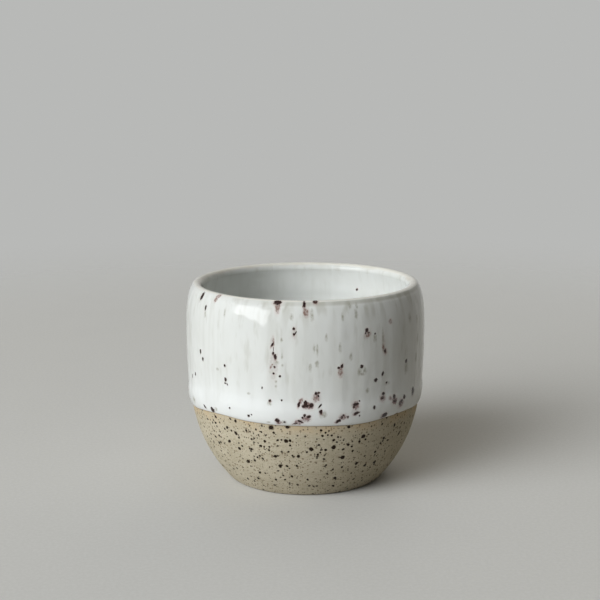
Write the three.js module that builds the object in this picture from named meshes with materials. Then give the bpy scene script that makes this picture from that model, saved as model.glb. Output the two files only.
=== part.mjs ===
// Handleless stoneware cappuccino cup: a thrown and trimmed clay body, a white glaze coat dipped over
// its upper part and its lip, and a liner glaze poured inside.
// Millimetres, +Z up, origin at the middle of the foot on the table. Angles run from the front, -Y,
// towards +X.
import * as THREE from "three";

// Clay body, outside
const BODY_HEIGHT = 69.1; // table to the top of the clay lip
const BELLY_RADIUS = 41.3; // widest ring of the wall
const BELLY_HEIGHT = 48; // height of that ring
const FOOT_RADIUS = 27.2; // where the wall's line meets the table
const FOOT_FLARE = 42; // degrees from upright at which the wall leaves the foot
const LIP_DRAW_IN = 2.05; // how far in from the belly the wall ends and the round of the lip starts
const LIP_LEAN = 22; // degrees from upright at which the wall leans in there

// Clay body, inside and underneath
const WALL_THICKNESS = 3.8; // at the belly
const LIP_THICKNESS = 2.8; // the wall tapers to this
const FLOOR_THICKNESS = 5.5; // between the foot recess and the bottom of the bowl
const BOWL_SQUARENESS = 3.2; // 2 is an elliptical bowl, more gives a flatter bottom
const FOOT_RING_WIDTH = 6; // flat ring that stands on the table
const FOOT_RECESS = 1.2; // trimmed hollow inside that ring
const FOOT_ROUND = 1; // radius of the ring's outer edge

// Dipped coat outside
const GLAZE_THICKNESS = 0.6; // from the belly up
const GLAZE_LINE_HEIGHT = 28.2; // mean height of its lower edge
const GLAZE_ROLL_THICKNESS = 0.85; // the run-down glaze gathers in a roll over that edge
const GLAZE_ROLL_HEIGHT = 4.6; // from the edge up to the fullest part of the roll
const GLAZE_DRAINED_THICKNESS = 0.4; // what the glaze that ran down left above the roll
const GLAZE_DRAINED_HEIGHT = 9; // from the edge up to the middle of that thin part
const DIP_TILT = 0.5; // rise of the line on the high side, from the angle of the dip
const DIP_TILT_ANGLE = -40; // degrees from the front to the high side
const DIP_WAVE = 0.3; // rise of the slower waves in the line
const DIP_WAVE_COUNT = 4;
const DIP_RIPPLE = 0.2; // rise of the finer ripples in the line
const DIP_RIPPLE_COUNT = 8;

// Poured coat inside
const LINER_THICKNESS = 0.5;

// Clearance between a coat and the clay, and between the two coats where they meet inside the lip
const BOND_GAP = 0.1;

// Facets
const STEPS_AROUND = 60;
const STEPS_LOWER_WALL = 9;
const STEPS_UPPER_WALL = 6;
const STEPS_LIP_SIDE = 3;
const STEPS_BOWL = 9;
const STEPS_ROUND = 3;
const STEPS_ROLL_NOSE = 4;
const STEPS_ROLL_TOP = 2;
const STEPS_DRAINED = 3;

const flare = THREE.MathUtils.degToRad(FOOT_FLARE);
const lean = THREE.MathUtils.degToRad(LIP_LEAN);

// The lip is a half round that carries on from the wall's lean.
const lipRound = LIP_THICKNESS / 2;
const lipCentre = new THREE.Vector2(
  BELLY_RADIUS - LIP_DRAW_IN - lipRound * Math.cos(lean),
  BODY_HEIGHT - lipRound,
);
const wallTop = lipCentre.y + lipRound * Math.sin(lean);
const innerTop = lipCentre.y - lipRound * Math.sin(lean);
const innerTopRadius = lipCentre.x - lipRound * Math.cos(lean);

// The foot's edge is an arc that is tangent to the table and to the wall.
const footTangent = FOOT_ROUND * Math.tan((Math.PI / 2 - flare) / 2);
const footCentre = new THREE.Vector2(FOOT_RADIUS - footTangent, FOOT_ROUND);
const wallBottom = footTangent * Math.cos(flare);

const bowlBottom = FOOT_RECESS + FLOOR_THICKNESS;
const bowlDepth = BELLY_HEIGHT - bowlBottom;
const bowlRadius = BELLY_RADIUS - WALL_THICKNESS;

// A station is a point of the clay's section, radius and height, with the normal that leaves the clay.
function station(radius, height, normalRadius, normalHeight) {
  return {
    point: new THREE.Vector2(radius, height),
    normal: new THREE.Vector2(normalRadius, normalHeight).normalize(),
  };
}

const onClay = ({ point }) => point;
const lifted = ({ point, normal }, distance) => point.clone().addScaledVector(normal, distance);

// Evenly spaced values from one end to the other, both ends included.
function spaced(from, to, steps) {
  return Array.from({ length: steps + 1 }, (_, step) => THREE.MathUtils.lerp(from, to, step / steps));
}

// The wall draws in from the belly by a power of the height, steep enough at its end for the lean there.
function drawIn(share, depth, span, endLean) {
  const power = (Math.tan(endLean) * span) / depth;
  return {
    radius: BELLY_RADIUS - depth * share ** power,
    slope: ((depth * power) / span) * share ** (power - 1),
  };
}

function outerStation(height) {
  const fromBelly = height - BELLY_HEIGHT;
  if (fromBelly < 0) {
    const low = drawIn(-fromBelly / BELLY_HEIGHT, BELLY_RADIUS - FOOT_RADIUS, BELLY_HEIGHT, flare);
    return station(low.radius, height, 1, -low.slope);
  }
  const span = wallTop - BELLY_HEIGHT;
  const high = drawIn(fromBelly / span, LIP_DRAW_IN, span, lean);
  return station(high.radius, height, 1, high.slope);
}

function lipStation(angle) {
  const across = Math.cos(angle);
  const up = Math.sin(angle);
  return station(lipCentre.x + lipRound * across, lipCentre.y + lipRound * up, across, up);
}

// Inside, above the belly, the wall tapers evenly from its full thickness to the lip.
function innerStation(height) {
  const outer = outerStation(height);
  const endThickness = outerStation(innerTop).point.x - innerTopRadius;
  const share = (height - BELLY_HEIGHT) / (innerTop - BELLY_HEIGHT);
  const thickness = THREE.MathUtils.lerp(WALL_THICKNESS, endThickness, share);
  const taper = (endThickness - WALL_THICKNESS) / (innerTop - BELLY_HEIGHT);
  const slope = -outer.normal.y / outer.normal.x - taper;
  return station(outer.point.x - thickness, height, -1, slope);
}

// Below the belly the inside is a bowl, a superellipse; the angle is 0 at the belly and 90 on the axis.
function bowlStation(angle) {
  const across = Math.cos(angle) ** (2 / BOWL_SQUARENESS);
  const down = Math.sin(angle) ** (2 / BOWL_SQUARENESS);
  return station(
    bowlRadius * across,
    BELLY_HEIGHT - bowlDepth * down,
    -(across ** (BOWL_SQUARENESS - 1)) / bowlRadius,
    down ** (BOWL_SQUARENESS - 1) / bowlDepth,
  );
}

const onAxis = station(0, bowlBottom, 0, 1);
const upperWallHeights = spaced(BELLY_HEIGHT, wallTop, STEPS_UPPER_WALL);
const outerStations = [
  ...spaced(wallBottom, BELLY_HEIGHT, STEPS_LOWER_WALL),
  ...upperWallHeights.slice(1),
].map(outerStation);
const lipStations = [
  ...spaced(lean, Math.PI / 2, STEPS_LIP_SIDE),
  ...spaced(Math.PI / 2, Math.PI + lean, STEPS_LIP_SIDE).slice(1),
].map(lipStation);
const bowlStations = [
  ...spaced(0, Math.PI / 2, STEPS_BOWL).slice(0, -1).map(bowlStation),
  onAxis,
];

function innerStations(top) {
  return [...spaced(top, BELLY_HEIGHT, STEPS_UPPER_WALL).slice(0, -1).map(innerStation), ...bowlStations];
}

function arc(centre, radius, fromAngle, toAngle) {
  return spaced(fromAngle, toAngle, STEPS_ROUND).map(
    (angle) => new THREE.Vector2(radius * Math.cos(angle), radius * Math.sin(angle)).add(centre),
  );
}

// Turns a section round the axis. The section may change with the angle.
function turned(sectionAt) {
  const rows = sectionAt(0).length;
  const geometry = new THREE.LatheGeometry(sectionAt(0), STEPS_AROUND);
  const position = geometry.getAttribute("position");
  spaced(0, 2 * Math.PI, STEPS_AROUND).forEach((angle, column) => {
    sectionAt(angle).forEach(({ x, y }, row) => {
      position.setXYZ(column * rows + row, x * Math.sin(angle), y, x * Math.cos(angle));
    });
  });
  geometry.computeVertexNormals();
  return geometry.rotateX(Math.PI / 2);
}

// Clay: underside with its coved recess, foot ring, outer wall, lip, inner wall and bowl.
function bodySection() {
  const ringInside = FOOT_RADIUS - FOOT_RING_WIDTH;
  const coveCentre = new THREE.Vector2(ringInside - FOOT_RECESS, 0);
  return [
    new THREE.Vector2(0, FOOT_RECESS),
    ...arc(coveCentre, FOOT_RECESS, Math.PI / 2, 0),
    ...arc(footCentre, FOOT_ROUND, -Math.PI / 2, -flare).slice(0, -1),
    ...outerStations.map(onClay),
    ...lipStations.slice(1).map(onClay),
    ...innerStations(innerTop).slice(1).map(onClay),
  ];
}

// Height of the dipped coat's lower edge round the cup.
function glazeLine(angle) {
  const fromHighSide = angle - THREE.MathUtils.degToRad(DIP_TILT_ANGLE);
  return (
    GLAZE_LINE_HEIGHT +
    DIP_TILT * Math.cos(fromHighSide) +
    DIP_WAVE * Math.cos(DIP_WAVE_COUNT * fromHighSide) +
    DIP_RIPPLE * Math.cos(DIP_RIPPLE_COUNT * fromHighSide)
  );
}

// Thickness of the dipped coat at a height: an elliptical nose from the edge up to the fullest part of the
// roll, the thin part where the glaze has drained, then the even coat.
function coatThickness(height, edge) {
  const above = height - edge;
  if (above < GLAZE_ROLL_HEIGHT) {
    return GLAZE_ROLL_THICKNESS * Math.sqrt(1 - (1 - above / GLAZE_ROLL_HEIGHT) ** 2);
  }
  const drained = THREE.MathUtils.smoothstep(above, GLAZE_ROLL_HEIGHT, GLAZE_DRAINED_HEIGHT);
  const rollTop = THREE.MathUtils.lerp(GLAZE_ROLL_THICKNESS, GLAZE_DRAINED_THICKNESS, drained);
  const even = THREE.MathUtils.smoothstep(height, edge + GLAZE_DRAINED_HEIGHT, BELLY_HEIGHT);
  return THREE.MathUtils.lerp(rollTop, GLAZE_THICKNESS, even);
}

// Dipped coat: up its outer face from the edge, over the lip, and back down along the clay.
function coatSection(angle) {
  const edge = glazeLine(angle);
  const nose = spaced(0, Math.PI / 2, STEPS_ROLL_NOSE).map((turn) => 1 - Math.cos(turn));
  const rollTop = edge + GLAZE_ROLL_HEIGHT;
  const drainedMiddle = edge + GLAZE_DRAINED_HEIGHT;
  const heights = [
    ...nose.map((share) => edge + GLAZE_ROLL_HEIGHT * share),
    ...spaced(rollTop, drainedMiddle, STEPS_ROLL_TOP).slice(1),
    ...spaced(drainedMiddle, BELLY_HEIGHT, STEPS_DRAINED).slice(1, -1),
    ...upperWallHeights,
  ];
  const wall = heights.map((height) => ({ ...outerStation(height), cover: coatThickness(height, edge) }));
  const lip = lipStations.slice(1).map((at) => ({ ...at, cover: GLAZE_THICKNESS }));
  const path = [...wall, ...lip];
  const outerFace = path.map((at) => lifted(at, BOND_GAP + at.cover));
  const clayFace = path.map((at) => lifted(at, BOND_GAP));
  return [...outerFace, ...clayFace.reverse()];
}

// Poured coat: from the axis along the clay up to the seam inside the lip, and back down its free face.
function linerSection() {
  const path = innerStations(innerTop - BOND_GAP).reverse();
  const clayFace = path.map((at) => lifted(at, BOND_GAP));
  const freeFace = path.map((at) => lifted(at, BOND_GAP + LINER_THICKNESS));
  return [...clayFace, ...freeFace.reverse()];
}

function glazeMaterial() {
  return new THREE.MeshStandardMaterial({ color: "#e4e7e1", roughness: 0.12, metalness: 0 });
}

function clayMaterial() {
  return new THREE.MeshStandardMaterial({ color: "#b3a586", roughness: 0.9, metalness: 0 });
}

function piece(name, sectionAt, material) {
  const mesh = new THREE.Mesh(turned(sectionAt), material);
  mesh.name = name;
  return mesh;
}

const cup = new THREE.Group();
cup.add(
  piece("stoneware_body", bodySection, clayMaterial()),
  piece("outer_glaze", coatSection, glazeMaterial()),
  piece("liner_glaze", linerSection, glazeMaterial()),
);

export default cup;
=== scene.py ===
"""Looks of a handleless stoneware cappuccino cup: speckled clay, a white glaze dipped over its upper part
and its lip, and a liner glaze poured inside.

Sizes are millimetres and MM turns them into the scene's metres. Angles run from the front, -Y, towards +X.
A place on the cup is an angle and a path, the length along the clay's section from the axis under the foot,
round the outside and over the lip, to the axis in the bowl.
"""

import functools
from math import cos, pi, radians, sin, tan

import bmesh
import bpy
import numpy as np
from mathutils import Matrix


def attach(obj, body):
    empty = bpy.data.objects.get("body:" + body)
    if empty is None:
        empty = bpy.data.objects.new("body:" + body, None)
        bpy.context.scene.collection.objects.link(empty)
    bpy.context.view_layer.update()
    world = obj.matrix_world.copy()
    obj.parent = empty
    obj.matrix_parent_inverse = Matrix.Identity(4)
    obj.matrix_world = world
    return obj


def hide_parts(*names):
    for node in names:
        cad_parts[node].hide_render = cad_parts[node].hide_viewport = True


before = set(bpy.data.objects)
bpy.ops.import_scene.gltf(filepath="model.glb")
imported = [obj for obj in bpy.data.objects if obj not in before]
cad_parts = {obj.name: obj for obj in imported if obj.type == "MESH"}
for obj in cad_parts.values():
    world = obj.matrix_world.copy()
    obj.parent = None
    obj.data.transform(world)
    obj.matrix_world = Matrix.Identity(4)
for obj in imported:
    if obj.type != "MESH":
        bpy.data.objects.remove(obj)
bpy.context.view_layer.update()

MM = 0.001

# Clay section, as in the CAD source
BODY_HEIGHT = 69.1
BELLY_RADIUS = 41.3
BELLY_HEIGHT = 48.0
FOOT_RADIUS = 27.2
FOOT_FLARE = radians(42)
LIP_DRAW_IN = 2.05
LIP_LEAN = radians(22)
WALL_THICKNESS = 3.8
LIP_THICKNESS = 2.8
FLOOR_THICKNESS = 5.5
BOWL_SQUARENESS = 3.2
FOOT_RING_WIDTH = 6.0
FOOT_RECESS = 1.2
FOOT_ROUND = 2.2  # outer edge of the foot ring, worn softer than in the CAD source
RING_ROUND = 0.4  # inner edge of the foot ring

# Glaze coats, as in the CAD source, with narrower gaps
GLAZE_THICKNESS = 0.6
GLAZE_LINE_HEIGHT = 28.2
GLAZE_ROLL_THICKNESS = 0.85
GLAZE_ROLL_HEIGHT = 4.6
GLAZE_DRAINED_THICKNESS = 0.4
GLAZE_DRAINED_HEIGHT = 9.0
DIP_ANGLE = radians(-40)
DIP_WAVES = ((0.5, 1, 0, 0), (0.3, 4, 0, 0), (0.2, 8, 0, 0))  # height, count, turn and sway
LINER_THICKNESS = 0.5
BOND_GAP = 0.03
SEAM_GAP = 0.01

# Unevenness of a thrown, dipped and poured cup
OUT_OF_ROUND = 0.20  # at the lip, wider from side to side
RIM_TILT = 0.15  # rise of the lip on its high side
RIM_TILT_ANGLE = radians(80)
RIM_POWER = 4  # how fast both grow towards the lip
ROLL_WAVES = ((0.12, 5, 1, 0), (0.08, 13, 2, 0))  # share of the roll, count, turn and sway
RUN_DEPTH = 0.03  # upright runs in the dipped coat
RUN_WAVES = ((1.0, 23, 0.5, 0), (0.7, 41, 0, 2), (0.5, 67, 0, 0))  # share, count, turn and sway
SWAY_COUNT = 3
RUN_FADES = ((1, 8), (0, 6))  # from the glaze line and from the lip
LIP_HOLLOW = 0.16  # under the bead that the glaze makes on the lip
LIP_HOLLOW_PATH = 0.1  # above the lower end of the lip
LIP_HOLLOW_SPREAD = 0.6
RING_DEPTH = 0.10  # throwing rings inside
RING_PITCH = 6.0
RING_FADES = ((4, 12), (1, 9))  # from the seam and from the axis
RING_SWAY = 0.4  # how far rings and trimming lines wander, in radians
POOL_DEPTH = 0.25  # more glaze on the bottom of the bowl
POOL_SPAN = (34, 14)  # before the axis
TRIM_DEPTH = 0.10  # spiral left by trimming the recess
TRIM_PITCH = 2.6
TRIM_FADES = ((0.5, 3), (0.5, 3))  # from the axis and from the end of the recess
WALL_TRIM_DEPTH = 0.02  # lines left by trimming the wall
WALL_TRIM_TURN = 3.1  # radians to a millimetre
WALL_TRIM_FADES = ((0, 2), (3, 6))  # from the foot and from the clay under the glaze line

# Mesh spacing
COAT_COLUMNS = 420
BODY_COLUMNS = 360
LINER_COLUMNS = 320
SEEN_STEP = 0.65
HIDDEN_STEP = 1.3
ROUND_STEP = 0.25  # on the lip's coat and the recess's edge
SHARP_STEP = 0.15  # on the foot ring's edges
HIDDEN_LIP_STEP = 0.4
NOSE_STEPS = 12
UNDER_GLAZE = 2.0  # how far the clay's fine mesh reaches under the coat
UNDER_LIP = 1.0  # how far the coat's finest mesh reaches below the lip
ARC_STEPS = 60
WALL_STEPS = 400
INNER_STEPS = 200
BOWL_STEPS = 500
SAME_POINT = 1e-6
SHARP_ANGLE = radians(55)
HIDDEN_ROOM = 0.15  # share of the room in the baked map that a hidden band gets
MAP_MARGIN = 0.01

# Camera, fitted to the outline of the cup in the 600 by 600 picture
PICTURE_SIZE = 600
FOCAL_PIXELS = 1249.0
SENSOR_WIDTH = 36.0
CAMERA_PLACE = np.array((-1.85, -431.9, 147.6))
CAMERA_PITCH = radians(11.15)
CAMERA_CLIP = 0.01
SEARCH_STEPS = 3000  # places along the section that a pixel may show
LEAST_SLANT = 0.4  # least share of a width or height that a slant leaves

# Lower edge of the dipped coat in the picture: column, row
GLAZE_EDGE = (
    (192.4, 403.7), (196.6, 407), (204, 408.7), (213.2, 412.8), (221.5, 414), (231.4, 417), (238, 419),
    (246.3, 421.1), (254.6, 422.3), (262.9, 423.2), (271.2, 424.8), (279.5, 425.2), (287.8, 425.7),
    (296.1, 425.7), (304.4, 426.2), (320.7, 426.2), (333.2, 425.8), (345.6, 425.2), (358, 424),
    (366.3, 422.5), (374.6, 420.7), (381.3, 418.6), (386.2, 416.5), (392, 415.3), (399.5, 412.8),
    (407, 408.7), (413.6, 406.6),
)

# Marks in the glaze in the picture. The lean is to the right in degrees, the run is below the mark, and
# both are 0 where they aren't given.
MARK_FIELDS = ("column", "row", "width", "height", "lean", "run")
IRON_MARKS = (
    (277.8, 302, 6.4, 3), (304.2, 304.5, 2.8, 5, 0, 2), (293.9, 328.9, 2.5, 2.8), (294, 334.4, 2.2, 2.6),
    (272.3, 344.8, 1.9, 4.6, 25), (273.2, 353.2, 2.2, 3), (275.3, 356.9, 2.8, 4.8), (273.5, 373.3, 1.8, 2),
    (269.8, 400.7, 2.5, 2.3), (277.5, 420.3, 3.9, 3.9), (298.8, 404.5, 2.4, 4.8, 12),
    (305.4, 404.2, 4, 6, 10), (303.4, 406.6, 2.6, 2.6), (307.3, 406.2, 2.8, 2.8), (311.3, 405.5, 4.4, 4.2),
    (304.7, 415.2, 2.6, 2.7), (308.8, 416.5, 2.7, 3.8, 70), (302.6, 417.3, 1.7, 2),
    (300.1, 421.2, 2, 5, -62), (316, 393.8, 2.7, 3.2), (318.4, 396, 1.7, 2.8, -20), (320.9, 411.6, 3, 4),
    (356.2, 404.2, 2.3, 5.4, 82), (356.4, 413.1, 2.6, 5.2, 70), (338.4, 420.8, 3.2, 4.8, 62),
    (384.6, 415, 3.4, 5.6, 70), (366.9, 330.4, 3, 4), (369, 332.8, 1.5, 1.8), (365.6, 333.2, 1.2, 1.5),
    (341.9, 366.2, 2.5, 3.8, 15), (339, 367.8, 2.4, 2.2), (383.8, 393.7, 2.6, 3, 10),
    (393.8, 396.4, 2.4, 3.7, -5), (401, 400, 1.8, 2.3), (343.2, 414.9, 1.7, 1.5),
)
GREY_MARKS = (
    (202.3, 295.9, 2, 7.6, 20), (205.8, 307.6, 1.4, 5.4, 5), (200.5, 351.3, 1.2, 4, -5),
    (202.8, 358.9, 1.5, 3.5), (224.7, 365.4, 1.7, 2.8, -20), (225.2, 379.4, 2.4, 4),
    (224.8, 383.2, 1.5, 1.6), (226.9, 384.4, 1, 2.2, -30), (295.8, 332.8, 1.2, 3.2, 25),
    (279.9, 376.3, 2.2, 2), (261.9, 387.9, 1.4, 2.2), (281.6, 400.4, 1.8, 1.8), (284.7, 421.8, 2.2, 1.8),
    (230.2, 407.7, 1.7, 1.7), (248.9, 415.6, 2.3, 2.3), (251.7, 414.4, 1.3, 1.4),
    (212.2, 409.9, 3.1, 5.6, -50), (204.9, 406.5, 1.2, 4.4, -52), (192, 375.9, 0.7, 4.4, 12),
    (195.1, 373.8, 0.8, 3.6, 12), (320.2, 405.9, 1.7, 4.6, 38), (374.2, 407.3, 2.3, 3.5),
    (382.9, 373.7, 2, 4.2, 20), (376.1, 380.1, 3.3, 3.4), (386.8, 382.6, 1.5, 2), (361.9, 366.5, 3.2, 3.4),
    (406.2, 361, 2, 3.6), (412.5, 390.7, 2.4, 6.8, 20), (403.7, 396.4, 2.1, 4, 15),
    (375.2, 333.8, 1.5, 1.6), (273.3, 349.2, 0.8, 4), (359.7, 401, 1.4, 1.6), (359.4, 415.4, 1.2, 1.7),
)
RUST_MARKS = (
    (315.4, 301.6, 4.4, 1.9), (295.4, 423.6, 1.7, 4, 75), (318.8, 392.9, 2.6, 2), (353.9, 406.9, 2, 2.3),
    (382.7, 397.7, 2.6, 2.8), (394.1, 400.6, 3, 2.4), (399.5, 402.6, 2.4, 4.4, 20),
    (341.6, 416.9, 2.4, 2.4), (347.8, 416.7, 1.6, 2), (396.8, 414.9, 2, 5, 70), (274.5, 367, 1.8, 2),
    (385, 351.2, 1.8, 3.4, -15),
)
STAIN_MARKS = (
    (277.5, 306.4, 3.6, 8.6), (305.8, 311.6, 4.2, 6, -10), (273.4, 341.5, 1.6, 8), (277.6, 305, 4.4, 4),
    (390.4, 321, 2.2, 3.4), (383.3, 346.3, 1.8, 6), (385, 350.4, 2.8, 5.4, -15), (216.1, 299, 2, 4, 30),
    (219, 295.7, 1.6, 4, 70), (271, 366.4, 1.3, 3.6, 15), (340.3, 371.2, 3.8, 6.6),
    (367.7, 333.8, 4.4, 4.6, -10), (272.4, 364.6, 1.2, 1.6, 60), (316.5, 396.6, 5.4, 7, 15),
    (301, 400.9, 3.2, 4.6, 30), (307.6, 405, 9.5, 5.6, 5), (306.2, 417.6, 6.4, 5, -20),
    (307.5, 418.9, 2.6, 3.2, 15), (298.6, 421.2, 6.6, 4.2, -15), (278.9, 421.6, 4.6, 3),
    (355.8, 404.6, 5.4, 6.4), (343, 416.2, 6, 4.2), (382.9, 397.2, 4.2, 5), (394, 399.2, 4, 6.4),
    (390.4, 397.6, 2.4, 3.4), (400.3, 401.8, 4, 6.2, 20),
)
TINT_MARKS = (
    (273.2, 364, 7, 20), (294.2, 332.5, 4.4, 10), (277.6, 308, 4, 7), (272.4, 340, 3, 8),
    (277.3, 369.4, 2, 2.2), (275.2, 370, 1.8, 2), (340.6, 373.5, 4, 6), (306, 314.5, 4, 5),
    (355, 410, 6, 5), (366.8, 336, 5, 4), (383.6, 342, 2.4, 16),
)
VEILED_MARKS = (
    (359.6, 370.4, 3, 6.4, 8), (364.5, 369.6, 3.2, 5, -20), (362, 373.6, 4.2, 2.8), (291.5, 316.5, 3, 5),
    (406.1, 366.6, 2.6, 9), (282.6, 365, 1.8, 2.6), (277.4, 362.5, 3.2, 2.8, 60), (275.8, 381.3, 2, 2),
    (275.8, 386.1, 2, 2), (248.4, 393.2, 2.5, 2), (217.3, 368.7, 2, 2.2), (282, 356, 1.6, 4.4),
    (224.6, 311.8, 1.2, 6), (281.6, 339.7, 2, 3), (215.9, 408.7, 2.4, 2.8), (374.8, 337, 3.2, 6),
    (382.9, 336.5, 1.3, 17), (409.5, 316.5, 2.2, 8), (416.6, 318, 1.2, 7), (417.4, 336.6, 1.3, 10),
    (415.8, 355.6, 1.3, 8.5), (342.6, 316.2, 2.4, 6.4), (356.2, 313.2, 2.6, 8), (349.7, 305.4, 1.8, 4.2),
    (356.6, 305.4, 1.8, 4.6), (340.1, 347.1, 2.4, 7), (326.5, 337.2, 2.2, 6), (351, 356, 2.4, 6),
    (387.3, 383.2, 4, 2.6), (367.7, 389.9, 2.8, 4), (312, 314, 3, 9), (314.2, 347.6, 2, 6),
    (317.4, 348.8, 1.8, 9), (317, 363.3, 3, 5), (310.4, 367, 2.5, 6), (194.6, 398.5, 2.6, 5.6, -25),
    (269.4, 403, 3.4, 3.2), (323.1, 413.8, 5.6, 5.6), (325.4, 413.4, 1.8, 3.2), (284, 421.9, 4.2, 3.2),
    (268.4, 421.9, 4, 1.5), (205.4, 313, 1.3, 5),
)

# Iron grains in the bare clay in the picture: column, row, and the size of the large ones
LARGE_GRAINS = (
    (271.2, 427.8, 5), (287.6, 426.8, 4), (236, 433.3, 3.4), (229.5, 441.2, 3.2), (248.4, 461.3, 3),
    (264.8, 441.2, 2.8), (286.1, 441, 4), (275.4, 456.3, 3.2), (298.4, 456.3, 3.2), (280.3, 466.1, 3.2),
    (311.2, 449.3, 3.8), (333.6, 447.4, 4.2), (342.7, 457.3, 4.2), (348.1, 444.7, 3.2), (363.2, 436.4, 3.6),
    (335, 477.9, 3), (348.9, 426.9, 3.4), (325.7, 449.9, 2.8), (356.4, 463.2, 3), (374.4, 462, 2.8),
    (333.7, 440, 3), (260.6, 445.9, 2.8), (239.6, 448.5, 2.8), (364.9, 465.2, 2.7),
)
SMALL_GRAINS = (
    (242.2, 446), (259.8, 455.9), (262.9, 458.7), (257.5, 457.3), (264.2, 446.8), (251.5, 439.1),
    (255.9, 429.6), (261.3, 431.9), (258.4, 434.8), (277.8, 440.2), (281.6, 439.8), (290.1, 440.6),
    (290.1, 445.4), (292.4, 455.5), (288.5, 451.8), (306.9, 452.2), (287, 466.1), (296.9, 465.9),
    (260, 472.5), (265.4, 473.2), (291.9, 476.2), (285.1, 479.6), (276, 479.6), (283.2, 475.4),
    (254.6, 481), (258.4, 478.3), (219.1, 435.4), (219.4, 442.7), (224.8, 428.6), (227.1, 427.5),
    (235.4, 420.9), (230.2, 418.8), (215.7, 416.7), (215.7, 422.8), (207.8, 419), (215.7, 436.4),
    (239.1, 437.7), (246.3, 430.6), (231.4, 430.6), (269.1, 450.1), (269.4, 446.8), (249.7, 448.7),
    (251.7, 449), (255, 460.5), (307.7, 479.6), (248, 478.7), (273.7, 432.7), (351.8, 446.4),
    (352.7, 450.9), (359.3, 441.4), (365.5, 439.3), (326.1, 465), (324, 459), (317.8, 454.5),
    (320.3, 452.6), (318.9, 444.9), (353.5, 479.1), (327, 473.7), (313.3, 486.2), (321.1, 430.4),
    (325.5, 432.7), (327.8, 435.2), (331.9, 435.4), (338.1, 437.1), (343.5, 440.2), (322.4, 435.9),
    (333.6, 439.8), (343.1, 449.3), (383.7, 438.1), (387.5, 440), (380.4, 443.1), (398.7, 433.5),
    (394.5, 424.8), (375, 451.8), (364.7, 455.9), (341.9, 467.1), (333.2, 485.8), (332.8, 469.6),
    (382.1, 424),
)

# How strongly each kind of mark shows its iron core, its rust halo and a veil of glaze over it
MARK_LOOKS = {
    "iron": (1, 0.9, 0),
    "grey": (1, 0.1, 0.6),
    "rust": (0.5, 1, 0),
    "stain": (0, 0.9, 0),
    "tint": (0, 0.22, 0),
    "veiled": (0, 0, 0.8),
    "grain": (1, 0.3, 0),
}
MARK_LAYERS = 4  # how many marks each face can show
FACES_AT_ONCE = 4000
FAR = 99  # place of a face that has no mark near it

# Marks by chance where the picture shows none: kind, count, band, widths, and heights as shares of the widths
CHANCE_GRAINS = (("grain", 130, "wall", (0.45, 1.2), (0.7, 1.3)),)
CHANCE_COAT_MARKS = (
    ("iron", 43, "low", (0.5, 1.4), (0.7, 1.8)),
    ("rust", 21, "low", (0.6, 1.6), (0.7, 1.6)),
    ("iron", 43, "high", (0.4, 1.1), (1, 2.6)),
    ("veiled", 43, "high", (0.7, 1.2), (1.3, 3.2)),
)
CHANCE_LINER_MARKS = (
    ("iron", 45, "wall", (0.4, 1), (0.8, 2)),
    ("rust", 22, "wall", (0.4, 1.2), (0.8, 2)),
    ("veiled", 22, "steep", (0.6, 1), (1.2, 2.2)),
)
CLAY_SEED, COAT_SEED, LINER_SEED = 11, 5, 8
LARGE_GRAIN_HEIGHTS = (0.75, 1)
SMALL_GRAIN_WIDTHS = (1.7, 2.5)
SMALL_GRAIN_HEIGHTS = (0.8, 1.1)
GRAIN_LEANS = (-60, 60)
LEAN_SPREAD = 0.5  # radians for a round mark
LEAN_POWER = 1.5  # how fast a slim mark straightens
RUN_CHANCE = 0.3
RUN_LENGTHS = (0.5, 2)
FOOT_MARGIN = 1  # marks by chance keep these distances from the foot, the glaze line and the lip
LINE_MARGIN = 0.8
LIP_MARGIN = 2
LOW_BAND_END = 9  # above the glaze line
HIGH_BAND_START = 6
BOTTOM_MARGIN = 12  # before the axis in the bowl
STEEP_MARGIN = 30
COAT_MARK_END = 1.5  # past the top of the lip
BEHIND = (radians(78), radians(282))  # angles that the picture doesn't show
LINE_FADE = radians(150)  # from here on the glaze line follows the CAD source alone
LINE_SMOOTHING = (0.25, 0.5, 0.25)


# Section of the clay

def arc(centre_radius, centre_height, radius, start, end):
    turn = np.linspace(start, end, ARC_STEPS)
    return np.column_stack((centre_radius + radius * np.cos(turn), centre_height + radius * np.sin(turn)))


def drawn_in(share, depth, span, end_lean):
    """How far the wall has drawn in from the belly at this share of the way to its end."""
    power = tan(end_lean) * span / depth
    return depth * np.clip(share, 0, None) ** power


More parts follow.
